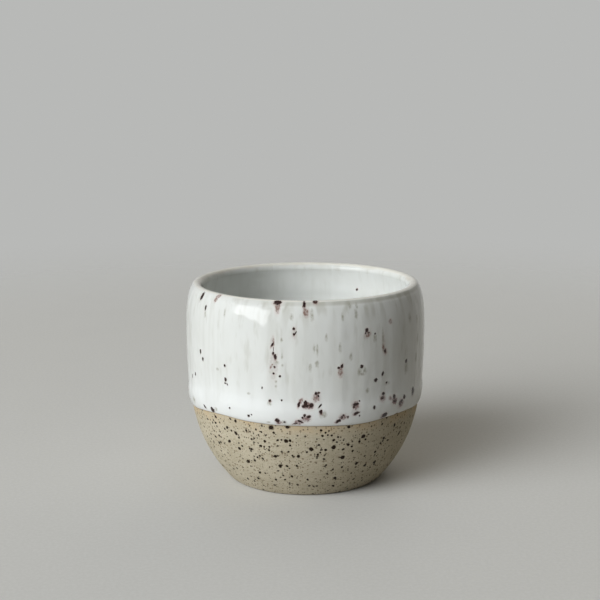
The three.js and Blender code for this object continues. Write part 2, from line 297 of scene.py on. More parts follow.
def clay_section():
    """Points of the section, radius and height, in parts from the foot's underside to the bowl's bottom."""
    lip_round = LIP_THICKNESS / 2
    lip_radius = BELLY_RADIUS - LIP_DRAW_IN - lip_round * cos(LIP_LEAN)
    lip_height = BODY_HEIGHT - lip_round
    wall_top = lip_height + lip_round * sin(LIP_LEAN)
    inner_top = lip_height - lip_round * sin(LIP_LEAN)
    inner_top_radius = lip_radius - lip_round * cos(LIP_LEAN)
    foot_tangent = FOOT_ROUND * tan((pi / 2 - FOOT_FLARE) / 2)
    wall_bottom = foot_tangent * cos(FOOT_FLARE)
    ring_inside = FOOT_RADIUS - FOOT_RING_WIDTH
    cove = FOOT_RECESS - RING_ROUND

    def outer(height):
        low = drawn_in(1 - height / BELLY_HEIGHT, BELLY_RADIUS - FOOT_RADIUS, BELLY_HEIGHT, FOOT_FLARE)
        span = wall_top - BELLY_HEIGHT
        high = drawn_in((height - BELLY_HEIGHT) / span, LIP_DRAW_IN, span, LIP_LEAN)
        return BELLY_RADIUS - low - high

    wall = np.linspace(wall_bottom, wall_top, WALL_STEPS)
    inner = np.linspace(inner_top, BELLY_HEIGHT, INNER_STEPS)
    top_thickness = outer(np.float64(inner_top)) - inner_top_radius
    thickness = np.interp(inner, (BELLY_HEIGHT, inner_top), (WALL_THICKNESS, top_thickness))
    turn = np.linspace(0, pi / 2, BOWL_STEPS)
    bowl_depth = BELLY_HEIGHT - FOOT_RECESS - FLOOR_THICKNESS
    bowl_radius = (BELLY_RADIUS - WALL_THICKNESS) * np.cos(turn).clip(0) ** (2 / BOWL_SQUARENESS)
    bowl_height = BELLY_HEIGHT - bowl_depth * np.sin(turn) ** (2 / BOWL_SQUARENESS)
    return {
        "recess": np.array(((0, FOOT_RECESS), (ring_inside - cove, FOOT_RECESS))),
        "cove": arc(ring_inside - cove, RING_ROUND, cove, pi / 2, 0),
        "ring_edge": arc(ring_inside + RING_ROUND, RING_ROUND, RING_ROUND, pi, 1.5 * pi),
        "foot_edge": arc(FOOT_RADIUS - foot_tangent, FOOT_ROUND, FOOT_ROUND, -pi / 2, -FOOT_FLARE),
        "wall": np.column_stack((outer(wall), wall)),
        "lip": arc(lip_radius, lip_height, lip_round, LIP_LEAN, pi + LIP_LEAN),
        "inner": np.column_stack((outer(inner) - thickness, inner)),
        "bowl": np.column_stack((bowl_radius, bowl_height)),
    }


section = clay_section()
outline = np.concatenate(list(section.values()))
outline = outline[np.append(True, np.hypot(*np.diff(outline, axis=0).T) > SAME_POINT)]
outline_path = np.append(0, np.cumsum(np.hypot(*np.diff(outline, axis=0).T)))
along = np.gradient(outline, outline_path, axis=0)
along /= np.hypot(*along.T)[:, None]
outline_normal = np.column_stack((along[:, 1], -along[:, 0]))


def path_at(part, end):
    """Path of a part's first or last point."""
    return outline_path[np.argmin(np.hypot(*(outline - section[part][end]).T))]


FOOT_PATH = path_at("foot_edge", 0)
WALL_PATH = path_at("wall", 0)
LIP_PATH = path_at("lip", 0)
SEAM_PATH = path_at("lip", -1)
LIP_TOP_PATH = (LIP_PATH + SEAM_PATH) / 2
END_PATH = outline_path[-1]


def on_section(path):
    """Radius, height and the two parts of the normal on the clay at a path."""
    values = (*outline.T, *outline_normal.T)
    return [np.interp(path, outline_path, value) for value in values]


def path_of_height(height):
    """Path of a height on the outer wall."""
    wall = (outline_path >= WALL_PATH) & (outline_path <= LIP_PATH)
    return np.interp(height, outline[wall, 1], outline_path[wall])


def placed(angle, path, lift):
    """Points in metres, lifted off the clay by a distance, on a cup that is a little out of round."""
    radius, height, across, up = on_section(path)
    share = np.clip(height / BODY_HEIGHT, 0, 1) ** RIM_POWER
    radius = radius + across * lift
    radius = radius * (1 - OUT_OF_ROUND / BELLY_RADIUS * share * np.cos(2 * angle))
    height = height + up * lift + RIM_TILT * share * np.cos(angle - RIM_TILT_ANGLE)
    return np.stack((radius * np.sin(angle), -radius * np.cos(angle), height), axis=-1) * MM


# From the picture to the cup

def seen_at(columns, rows, lift):
    """Angle, path, millimetres to a pixel, and the shares of width and height that the slant leaves."""
    x = (np.asarray(columns, float) - PICTURE_SIZE / 2) / FOCAL_PIXELS
    up = (PICTURE_SIZE / 2 - np.asarray(rows, float)) / FOCAL_PIXELS
    ahead, down = cos(CAMERA_PITCH), sin(CAMERA_PITCH)
    ray = np.column_stack((x, ahead + up * down, up * ahead - down))
    path = np.linspace(LIP_TOP_PATH, FOOT_PATH, SEARCH_STEPS)
    radius, height, across, rise = on_section(path)
    radius, height = radius + across * lift, height + rise * lift
    reach = (height[None, :] - CAMERA_PLACE[2]) / ray[:, 2:]
    hit = CAMERA_PLACE[None, None, :2] + reach[..., None] * ray[:, None, :2]
    outside = np.hypot(hit[..., 0], hit[..., 1]) - radius
    first = np.where((outside < 0).any(axis=1), (outside < 0).argmax(axis=1), outside.argmin(axis=1))
    pick = np.arange(len(first))
    x, y = hit[pick, first].T
    angle = np.arctan2(x, -y)
    scale = reach[pick, first] / FOCAL_PIXELS
    view = -ray / np.linalg.norm(ray, axis=1)[:, None]
    facing = np.arctan2(view[:, 0], -view[:, 1]) - angle
    tipping = np.arcsin(view[:, 2]) - np.arctan2(rise[first], across[first])
    return angle, path[first], scale, np.cos(facing).clip(LEAST_SLANT), np.cos(tipping).clip(LEAST_SLANT)


SPECK_FIELDS = ("angle", "path", "half_width", "half_height", "lean", "run", "iron", "rust", "veil")
SPECK = np.dtype([(name, float) for name in SPECK_FIELDS])


def new_specks(kind, count):
    specks = np.zeros(count, SPECK)
    specks["iron"], specks["rust"], specks["veil"] = MARK_LOOKS[kind]
    return specks


def picture_marks(kind, marks, lift):
    """The marks of one kind that the picture shows, as specks on the cup."""
    whole = [(*mark, 0, 0)[:len(MARK_FIELDS)] for mark in marks]
    columns, rows, widths, heights, leans, runs = np.array(whole, float).T
    angle, path, scale, across, upright = seen_at(columns, rows, lift)
    specks = new_specks(kind, len(marks))
    specks["angle"], specks["path"], specks["lean"] = angle, path, np.radians(leans)
    specks["half_width"] = widths / 2 * scale / across
    specks["half_height"] = heights / 2 * scale / upright
    specks["run"] = runs / heights
    return specks


def chance_marks(table, angles, bands, rng):
    """Marks by chance from a table, between two angles and in bands of paths."""
    found = []
    for kind, count, band, widths, heights in table:
        specks = new_specks(kind, count)
        specks["angle"] = rng.uniform(*angles, count)
        specks["path"] = rng.uniform(*bands[band], count)
        specks["half_width"] = rng.uniform(*widths, count) / 2
        specks["half_height"] = specks["half_width"] * rng.uniform(*heights, count)
        slimness = specks["half_height"] / specks["half_width"]
        specks["lean"] = rng.normal(0, LEAN_SPREAD / slimness**LEAN_POWER)
        specks["run"] = np.where(rng.random(count) < RUN_CHANCE, rng.uniform(*RUN_LENGTHS, count), 0)
        found.append(specks)
    return np.concatenate(found)


def waves_round(angle, table):
    """Waves round the cup, summed: height, count, turn, and a sway that makes them uneven."""
    return sum(
        height * np.cos(count * angle + turn + sway * np.cos(SWAY_COUNT * angle))
        for height, count, turn, sway in table
    )


def dip_height(angle):
    """Height of the dipped coat's lower edge in the CAD source."""
    return GLAZE_LINE_HEIGHT + waves_round(angle - DIP_ANGLE, DIP_WAVES)


edge_angle, edge_path, *_ = seen_at(*zip(*GLAZE_EDGE), BOND_GAP)
edge_offset = on_section(edge_path)[1] - dip_height(edge_angle)
edge_offset = np.convolve(np.pad(edge_offset, 1, "edge"), LINE_SMOOTHING, "valid")
line_angle = (-LINE_FADE, *edge_angle, LINE_FADE)
line_offset = np.pad(edge_offset, 1)


def glaze_edge_height(angle):
    """Height of the dipped coat's lower edge, with the picture's own line at the front."""
    return dip_height(angle) + np.interp(angle, line_angle, line_offset, period=2 * pi)


# Meshes

def steps_between(start, end, step):
    return np.linspace(start, end, max(2, int(round((end - start) / step)) + 1))


def rows_along(stops, end):
    """Rows along a path, from stops that say where a stretch starts and what its step is."""
    starts, steps = zip(*stops)
    stretches = zip(starts, (*starts[1:], end), steps)
    return np.append(np.concatenate([steps_between(*stretch)[:-1] for stretch in stretches]), end)


def smooth(value, low, high):
    share = np.clip((value - low) / (high - low), 0, 1)
    return share * share * (3 - 2 * share)


def between(path, start, end, fades):
    """1 between two paths, fading to 0 over spans measured from each of them."""
    return smooth(path - start, *fades[0]) * smooth(end - path, *fades[1])


def add_object(name, data):
    made = bpy.data.objects.new(name, data)
    bpy.context.scene.collection.objects.link(made)
    return made


def on_points(grid):
    """A grid with poles as one row for each point of its mesh."""
    return np.concatenate((grid[0, :1], grid[1:-1].reshape(-1, *grid.shape[2:]), grid[-1:, 0]))


def turned(name, angle, path, lift, poles, seen_rows):
    """Closed mesh from grids of places, row by row along a section that has its outside on the right.

    Without poles the last row joins the first one. With poles the section starts and ends on the axis, and
    the first and last rows are single points. seen_rows tells which bands between rows show from outside.
    Returns the piece, and the row, angle and path of each corner of each face.
    """
    points = placed(angle, path, lift)
    rows, columns = path.shape
    places = on_points(points) if poles else points.reshape(-1, 3)
    index = np.arange(rows * columns).reshape(rows, columns)
    if poles:
        index = np.clip(index - columns + 1, 0, len(places) - 1)
    faces, corner_cells = [], []
    for row in range(rows - 1 if poles else rows):
        for column in range(columns):
            corners = {}
            for cell in ((row, column), (row, column + 1), (row + 1, column + 1), (row + 1, column)):
                corners.setdefault(int(index[cell[0] % rows, cell[1] % columns]), cell)
            faces.append(list(corners))
            corner_cells.extend(corners.values())
    mesh = bpy.data.meshes.new(name)
    mesh.from_pydata(places.tolist(), [], faces)
    mesh.validate()
    mesh.polygons.foreach_set("use_smooth", np.ones(len(mesh.polygons), bool))
    mesh.set_sharp_from_angle(angle=SHARP_ANGLE)
    corner_row, corner_column = np.array(corner_cells).T
    map_for_bake(mesh, corner_row, corner_column, columns // 2, seen_rows)
    corner_angle = angle[0, 0] + corner_column * 2 * pi / columns
    corner_path = path[corner_row % rows, corner_column % columns]
    return add_object(name, mesh), corner_row, corner_angle, corner_path


def corners_of_faces(mesh):
    """First corner of each face, and how many corners it has."""
    starts, totals = np.empty((2, len(mesh.polygons)), int)
    mesh.polygons.foreach_get("loop_start", starts)
    mesh.polygons.foreach_get("loop_total", totals)
    return starts, totals


def map_for_bake(mesh, row, column, half, seen_rows):
    """Map for baked textures: half the columns in each of two strips, with little room for hidden rows."""
    room = np.append(0, np.cumsum(np.where(seen_rows, 1, HIDDEN_ROOM)))
    room /= room[-1]
    starts, totals = corners_of_faces(mesh)
    first_column = np.repeat(np.minimum.reduceat(column, starts), totals)
    strip = (first_column >= half).astype(float)
    across = MAP_MARGIN + (1 - 2 * MAP_MARGIN) * (column / half - strip)
    up = strip / 2 + MAP_MARGIN + (1 / 2 - 2 * MAP_MARGIN) * room[row]
    layer = mesh.uv_layers.new(name="OFBake")
    layer.data.foreach_set("uv", np.column_stack((across, up)).ravel())


def put_values(mesh, name, values):
    """One number for each point of the mesh, for its material."""
    layer = mesh.attributes.new(name, "FLOAT", "POINT")
    layer.data.foreach_set("value", np.asarray(values, np.float32).ravel())


def in_mark(angle, path, specks):
    """Place seen from a mark, in its own half widths and half heights: across, and up along its lean."""
    turn = np.mod(angle - specks["angle"] + pi, 2 * pi) - pi
    across = turn * on_section(path)[0]
    up = path - specks["path"]
    straight, slant = np.cos(specks["lean"]), np.sin(specks["lean"])
    x = (across * straight - up * slant) / specks["half_width"]
    return x, (across * slant + up * straight) / specks["half_height"]


def put_marks(mesh, specks, corner_angle, corner_path, corner_seen):
    """Gives each face the marks nearest to it: each corner's place in them, and how they look."""
    starts, totals = corners_of_faces(mesh)
    face_angle = corner_angle[starts]
    face_path = np.add.reduceat(corner_path, starts) / totals
    nearest = np.zeros((len(starts), MARK_LAYERS), int)
    for chunk in np.array_split(np.arange(len(starts)), max(1, len(starts) // FACES_AT_ONCE)):
        x, y = in_mark(face_angle[chunk, None], face_path[chunk, None], specks[None, :])
        y = np.where(y < 0, y / (1 + specks["run"]), y)
        nearest[chunk] = np.argpartition(np.hypot(x, y), MARK_LAYERS, axis=1)[:, :MARK_LAYERS]
    for layer in range(MARK_LAYERS):
        chosen = specks[np.repeat(nearest[:, layer], totals)]
        place = np.column_stack((*in_mark(corner_angle, corner_path, chosen), chosen["run"]))
        place[~corner_seen] = FAR
        look = np.column_stack((chosen["iron"], chosen["rust"], chosen["veil"]))
        for name, vectors in (("place", place), ("look", look)):
            made = mesh.attributes.new(f"mark_{name}_{layer}", "FLOAT_VECTOR", "CORNER")
            made.data.foreach_set("vector", vectors.astype(np.float32).ravel())


def angles_round(columns):
    return np.arange(columns) * 2 * pi / columns - pi


def make_body():
    """Clay: recess, foot ring, bare wall, and the wall, lip and bowl under the coats."""
    edge = path_of_height(GLAZE_LINE_HEIGHT) + UNDER_GLAZE
    recess_end = path_at("recess", -1)
    stops = (
        (0, SEEN_STEP), (recess_end, ROUND_STEP), (path_at("cove", -1), SHARP_STEP),
        (path_at("ring_edge", -1), SEEN_STEP), (FOOT_PATH, SHARP_STEP), (WALL_PATH, SEEN_STEP),
        (edge, HIDDEN_STEP), (LIP_PATH, HIDDEN_LIP_STEP), (SEAM_PATH, HIDDEN_STEP),
    )
    rows = rows_along(stops, END_PATH)
    path, angle = np.meshgrid(rows, angles_round(BODY_COLUMNS), indexing="ij")
    spiral = TRIM_DEPTH * np.cos(2 * pi * path / TRIM_PITCH + angle)
    spiral *= between(path, 0, recess_end, TRIM_FADES)
    trimming = WALL_TRIM_DEPTH * np.cos(path * WALL_TRIM_TURN + RING_SWAY * np.cos(angle))
    trimming *= between(path, WALL_PATH, edge, WALL_TRIM_FADES)
    seen = rows[1:] < edge + HIDDEN_STEP / 2
    piece, _, corner_angle, corner_path = turned("fired_body", angle, path, trimming - spiral, True, seen)
    corner_seen = (corner_path > FOOT_PATH) & (corner_path < edge)
    put_marks(piece.data, clay_marks(), corner_angle, corner_path, corner_seen)
    below = path_of_height(glaze_edge_height(on_points(angle))) - on_points(path)
    put_values(piece.data, "below_glaze", below)
    return piece


def clay_marks():
    rng = np.random.default_rng(CLAY_SEED)

    def grain(column, row, size, heights):
        return column, row, size, size * rng.uniform(*heights), rng.uniform(*GRAIN_LEANS)

    marks = [grain(*large, LARGE_GRAIN_HEIGHTS) for large in LARGE_GRAINS]
    marks += [grain(*small, rng.uniform(*SMALL_GRAIN_WIDTHS), SMALL_GRAIN_HEIGHTS) for small in SMALL_GRAINS]
    bands = {"wall": (WALL_PATH + FOOT_MARGIN, path_of_height(GLAZE_LINE_HEIGHT))}
    return np.concatenate((picture_marks("grain", marks, 0), chance_marks(CHANCE_GRAINS, BEHIND, bands, rng)))


def coat_cover(above, angle, path):
    """Thickness of the dipped coat: roll, drained part, even wall with upright runs, bead on the lip."""
    roll = GLAZE_ROLL_THICKNESS * (1 + waves_round(angle, ROLL_WAVES))
    to_roll = np.clip(1 - above / GLAZE_ROLL_HEIGHT, 0, 1)
    nose = roll * np.sqrt(1 - to_roll**2)
    drained = smooth(above, GLAZE_ROLL_HEIGHT, GLAZE_DRAINED_HEIGHT)
    even = smooth(path, path - above + GLAZE_DRAINED_HEIGHT, path_of_height(BELLY_HEIGHT))
    wall = roll + (GLAZE_DRAINED_THICKNESS - roll) * drained
    wall += (GLAZE_THICKNESS - wall) * even
    runs = RUN_DEPTH * waves_round(angle, RUN_WAVES) * between(path, path - above, LIP_PATH, RUN_FADES)
    inside = (LINER_THICKNESS - GLAZE_THICKNESS) * smooth(path, LIP_TOP_PATH, SEAM_PATH)
    hollow = LIP_HOLLOW * np.exp(-(((path - LIP_PATH - LIP_HOLLOW_PATH) / LIP_HOLLOW_SPREAD) ** 2))
    return np.where(above < GLAZE_ROLL_HEIGHT, nose, wall) + runs + inside - hollow


def make_coat():
    """Dipped glaze: a thin shell from its wavy rolled edge up the wall and over the lip."""
    angles = angles_round(COAT_COLUMNS)
    edge = path_of_height(glaze_edge_height(angles))
    mean_edge = path_of_height(GLAZE_LINE_HEIGHT)
    nose = GLAZE_ROLL_HEIGHT * (1 - np.cos(np.linspace(0, pi / 2, NOSE_STEPS + 1)))
    end = SEAM_PATH - SEAM_GAP / 2
    wall_rows = rows_along(((mean_edge + nose[-1], SEEN_STEP), (LIP_PATH - UNDER_LIP, ROUND_STEP)), end)
    outer_rows = np.concatenate((mean_edge + nose[:-1], wall_rows))
    clay_rows = steps_between(mean_edge, end, HIDDEN_STEP)[:0:-1]
    rows = np.concatenate((outer_rows, clay_rows))
    follow = 1 - smooth(rows, mean_edge + GLAZE_DRAINED_HEIGHT, LIP_PATH)
    path = rows[:, None] + follow[:, None] * (edge - mean_edge)[None, :]
    angle = np.broadcast_to(angles, path.shape)
    outer = (np.arange(len(rows)) < len(outer_rows))[:, None]
    lift = BOND_GAP + np.where(outer, coat_cover(path - edge, angle, path), 0)
    seen = np.arange(len(rows)) < len(outer_rows) - 1
    piece, row, corner_angle, corner_path = turned("dipped_glaze", angle, path, lift, False, seen)
    corner_seen = (row < len(outer_rows)) & (corner_path < LIP_TOP_PATH + COAT_MARK_END)
    put_marks(piece.data, coat_marks(), corner_angle, corner_path, corner_seen)
    put_values(piece.data, "above_edge", path - edge)
    put_values(piece.data, "past_lip", path - LIP_TOP_PATH)
    return piece


def coat_marks():
    lift = BOND_GAP + GLAZE_THICKNESS
    edge = path_of_height(GLAZE_LINE_HEIGHT) + LINE_MARGIN
    bands = {"low": (edge, edge + LOW_BAND_END), "high": (edge + HIGH_BAND_START, LIP_PATH - LIP_MARGIN)}
    shown = {
        "iron": IRON_MARKS, "grey": GREY_MARKS, "rust": RUST_MARKS,
        "stain": STAIN_MARKS, "tint": TINT_MARKS, "veiled": VEILED_MARKS,
    }
    return np.concatenate((
        *(picture_marks(kind, marks, lift) for kind, marks in shown.items()),
        chance_marks(CHANCE_COAT_MARKS, BEHIND, bands, np.random.default_rng(COAT_SEED)),
    ))


def make_liner():
    """Poured glaze: from the axis along the clay up to the seam inside the lip, and down its free face."""
    start = SEAM_PATH + SEAM_GAP / 2
    clay_rows = steps_between(start, END_PATH, HIDDEN_STEP)[::-1]
    free_rows = steps_between(start, END_PATH, SEEN_STEP)
    rows = np.concatenate((clay_rows, free_rows))
    path, angle = np.meshgrid(rows, angles_round(LINER_COLUMNS), indexing="ij")
    free = (np.arange(len(rows)) >= len(clay_rows))[:, None]
    rings = RING_DEPTH * np.cos(2 * pi * path / RING_PITCH + angle + RING_SWAY * np.cos(angle))
    rings *= between(path, start, END_PATH, RING_FADES)
    pooled = POOL_DEPTH * smooth(END_PATH - path, *POOL_SPAN)
    lift = BOND_GAP + np.where(free, LINER_THICKNESS + rings + pooled, 0)
    seen = np.arange(len(rows) - 1) >= len(clay_rows)
    piece, row, corner_angle, corner_path = turned("poured_liner", angle, path, lift, True, seen)
    put_marks(piece.data, liner_marks(), corner_angle, corner_path, row >= len(clay_rows))
    put_values(piece.data, "past_lip", on_points(path) - LIP_TOP_PATH)
    return piece


def liner_marks():
    start = SEAM_PATH + LIP_MARGIN
    bands = {"wall": (start, END_PATH - BOTTOM_MARGIN), "steep": (start, END_PATH - STEEP_MARGIN)}
    return chance_marks(CHANCE_LINER_MARKS, (-pi, pi), bands, np.random.default_rng(LINER_SEED))


# Materials, with noises as a size along X, Y and Z, a detail and a roughness

NOISE_MIDDLE = 0.5
# Marks in the shader. Ramps say how far from its middle, in half sizes, a mark starts and is full.
MARK_ROUGHNESS = ((0.8, 0.8, 0.8), 4, 0.7)  # noise that makes the edges ragged
MARK_PATCHES = ((0.6, 0.6, 1), 2, 0.6)  # noise that makes rust and veil patchy
PATCH_RAMP = (0.38, 0.58, 0.45, 1)
CORE_RAMP = (1.25, 0.9)
PALE_MIDDLE_RAMP = (0.7, 0.3)
HALO_RAMP = (1.2, 0.7)
VEIL_RAMP = (1.5, 0.2)
FRINGE_RAMP = (1.9, 0.9)
HALO_SIZE = (1.25, 1.3, 1)
HALO_DROP = 0.3
RUN_STRETCH = 1.6


class Nodes:
    """A tree of nodes. Inputs may be sockets or plain values."""

    def __init__(self, tree):
        self.tree = tree
        tree.nodes.clear()

    def node(self, kind, inputs=(), **settings):
        """Adds a node of a kind and returns its outputs."""
        made = self.tree.nodes.new("ShaderNode" + kind)
        for name, value in settings.items():
            setattr(made, name, value)
        for key, value in dict(inputs).items():
            self.feed(made.inputs[key], value)
        return made.outputs

    def feed(self, socket, value):
        if isinstance(value, bpy.types.NodeSocket):
            self.tree.links.new(value, socket)
        elif socket.type == "RGBA" and len(value) == 3:
            socket.default_value = (*value, 1)
        else:
            socket.default_value = value

    def math(self, operation, *values, clamp=False):
        return self.node("Math", dict(enumerate(values)), operation=operation, use_clamp=clamp)[0]

    def chain(self, operation, values):
        return functools.reduce(functools.partial(self.math, operation), values)

    def plus(self, *values):
        return self.chain("ADD", values)

    def times(self, *values):
        return self.chain("MULTIPLY", values)

    def total(self, *terms):
        """Sum of values, each times its share."""
        return self.plus(*(self.times(*term) for term in terms))

    def vector(self, operation, *values):
        made = self.node("VectorMath", dict(enumerate(values)), operation=operation)
        return made["Value" if operation in ("LENGTH", "DOT_PRODUCT") else "Vector"]

    def scaled(self, vector, scale):
        return self.node("VectorMath", {0: vector, "Scale": scale}, operation="SCALE")["Vector"]

    def parts(self, vector):
        return self.node("SeparateXYZ", {0: vector})

    def flat(self, x, y):
        return self.node("CombineXYZ", {0: x, 1: y})[0]

    def ease(self, value, low, high, start=0, end=1):
        """Smooth step of a value from start at low to end at high."""
        inputs = {0: value, 1: low, 2: high, 3: start, 4: end}
        return self.node("MapRange", inputs, interpolation_type="SMOOTHSTEP")[0]

    def mix(self, share, first, second):
        """Mix of two colours: 6, 7 and 2 are the node's sockets for colours."""
        return self.node("Mix", {0: share, 6: first, 7: second}, data_type="RGBA")[2]

    def layered(self, colour, *layers):
        """A colour with others laid over it in turn, each by a mask and a share."""
        for mask, share, layer in layers:
            colour = self.mix(self.times(mask, share), colour, layer)
        return colour

    def shown(self):
        """1 where the camera, a reflection or glass shows the surface, and 0 where it only lights others."""
        rays = self.node("LightPath")
        kinds = ("Glossy", "Transmission", "Camera")
        return self.chain("MAXIMUM", [rays[f"Is {kind} Ray"] for kind in kinds])


class Shader(Nodes):
    """The nodes of one material."""

    def __init__(self, name):
        self.material = bpy.data.materials.new(name)
        self.material.use_nodes = True
        super().__init__(self.material.node_tree)
        self.millimetres = self.scaled(self.node("TexCoord")["Object"], 1 / MM)

    def attribute(self, name, output="Fac"):
        return self.node("Attribute", attribute_name=name)[output]

    def noise(self, size, detail, roughness, output="Fac"):
        place = self.vector("DIVIDE", self.millimetres, size)
        inputs = {"Vector": place, "Scale": 1, "Detail": detail, "Roughness": roughness}
        return self.node("TexNoise", inputs)[output]

    def cells(self, size):
        """Random cells of about this many millimetres: distance from the middle, and a colour for each."""
        place = self.scaled(self.millimetres, 1 / size)
        return self.node("TexVoronoi", {"Vector": place, "Scale": 1})[:2]

    def marks(self, ragged):
        """Iron core, rust halo, veil and fringe of the nearest marks, with paler middles in rust marks."""
        rough = self.vector("SUBTRACT", self.noise(*MARK_ROUGHNESS, "Color"), [NOISE_MIDDLE] * 3)
        rough = self.scaled(rough, ragged)
        patchy = self.ease(self.noise(*MARK_PATCHES), *PATCH_RAMP)
        found = []
        for layer in range(MARK_LAYERS):
            place = self.attribute(f"mark_place_{layer}", "Vector")
            run = self.parts(place)[2]
            iron, rust, veiled = self.parts(self.attribute(f"mark_look_{layer}", "Vector"))
            x, y, _ = self.parts(self.vector("ADD", place, rough))
            away = self.vector("LENGTH", self.flat(x, y))
            pale = self.times(self.ease(away, *PALE_MIDDLE_RAMP), self.math("SUBTRACT", 1, iron))
            solid = self.math("SUBTRACT", self.math("GREATER_THAN", iron, 0), pale)
            core = self.math("MULTIPLY", self.ease(away, *CORE_RAMP), solid, clamp=True)
            low = self.plus(y, HALO_DROP)
            stretched = self.math("DIVIDE", low, self.plus(self.times(run, RUN_STRETCH), 1))
            low = self.plus(self.math("MINIMUM", stretched, 0), self.math("MAXIMUM", low, 0))
            away = self.vector("LENGTH", self.vector("DIVIDE", self.flat(x, low), HALO_SIZE))
            halo = self.times(self.ease(away, *HALO_RAMP), rust, patchy)
            veil = self.times(self.ease(away, *VEIL_RAMP), veiled, patchy)
            fringe = self.times(self.ease(away, *FRINGE_RAMP), rust)
            found.append((core, halo, veil, fringe))
        return [self.chain("MAXIMUM", kind) for kind in zip(*found)]

    def bump(self, height):
        """Bump from a height in millimetres."""
        return self.node("Bump", {"Strength": 1, "Distance": MM, "Height": height})[0]

    def principled(self, inputs):
        return self.node("BsdfPrincipled", inputs)[0]

    def finish(self, surface):
        self.node("OutputMaterial", {"Surface": surface})
        return self.material


# Glaze
THICK_GLAZE = (0.8, 0.822, 0.814)
THIN_GLAZE = (0.69, 0.704, 0.676)
# grey-beige of the glaze's smears, and of the painted shade under the lip's bead
SMEAR_AND_SHADE = (0.44, 0.435, 0.37)
# cream of the glaze's bead on the lip, partly a painted highlight on its top
LIP_CREAM_AND_HIGHLIGHT = (0.8, 0.775, 0.705)
LIP_BREAK = (0.56, 0.49, 0.375)
FRINGE = (0.58, 0.45, 0.42)
VEIL = (0.215, 0.195, 0.12)
MAROON = (0.125, 0.027, 0.024)
BROWN = (0.18, 0.082, 0.052)
IRON = (0.021, 0.0032, 0.0015)
FRINGE_SHARE, VEIL_SHARE, HALO_SHARE = 0.35, 0.8, 0.9
GLAZE_RAGGED = 1.8
GLAZE_IOR = 1.5
CLOUDS = ((9, 9, 14), 2, 0.5)
CLOUD_SHARE = 0.9
SMEARS = ((1.8, 1.8, 8), 2, 0.5)
SMEAR_RAMP = (0.52, 0.78, 0, 0.4)
STREAKS = ((2.8, 2.8, 40), 1, 0.5)
STREAK_RAMP = (0.45, 0.7, 0, 0.2)
RIGHT_SHADE_RAMP = (-30, 15, 0.1, 0.75)  # smears at the lip and the painted shade under its bead grow towards the right, the side away from the light
HANG_RAMPS = ((-10, -2), (-1.3, -1.6))  # smears that hang from the lip, by the path past its top
HANG_STREAK_RAMP = (0.48, 0.66, 0, 0.7)
UNDER_BEAD_SHADE_RAMPS = ((-1.2, -1.5), (-2.9, -1.9))  # painted shade in the hollow under the bead, partly thin glaze there
UNDER_BEAD_SHADE_STREAK_RAMP = (0.3, 0.6, 0.7, 1)
BEAD_PLACE, BEAD_RAMP, BEAD_SHARE = -0.3, (1.2, 0.7), 0.75
CREST_PLACE, CREST_RAMP = 0.6, (0.8, 0.1)  # where the glaze breaks thin over the lip
CREST_CLOUD_RAMP = (0.45, 0.7, 0, 0.4)
# Relief: noises, each with its depth
GLAZE_RELIEF = (
    ((9, 9, 12), 1, 0.4, 0.25),
    ((3.4, 3.4, 4.6), 1, 0.5, 0.12),
    ((1.3, 1.3, 1.6), 2, 0.5, 0.012),
)
MARK_DEPTH, HALO_DEPTH = 0.03, 0.012
GLOSS, CLOUD_DULL, MARK_DULL = 0.03, 0.05, 0.18
COAT_RAMP = (20, 2, 0.25, 1)  # the dipped coat is thick in its roll and thins out up the wall
LINER_RAMP = (5, 60, 0.35, 0.85)  # the poured coat thickens towards the bottom of the bowl
COAT_SMEARED, LINER_SMEARED = 1, 0.4


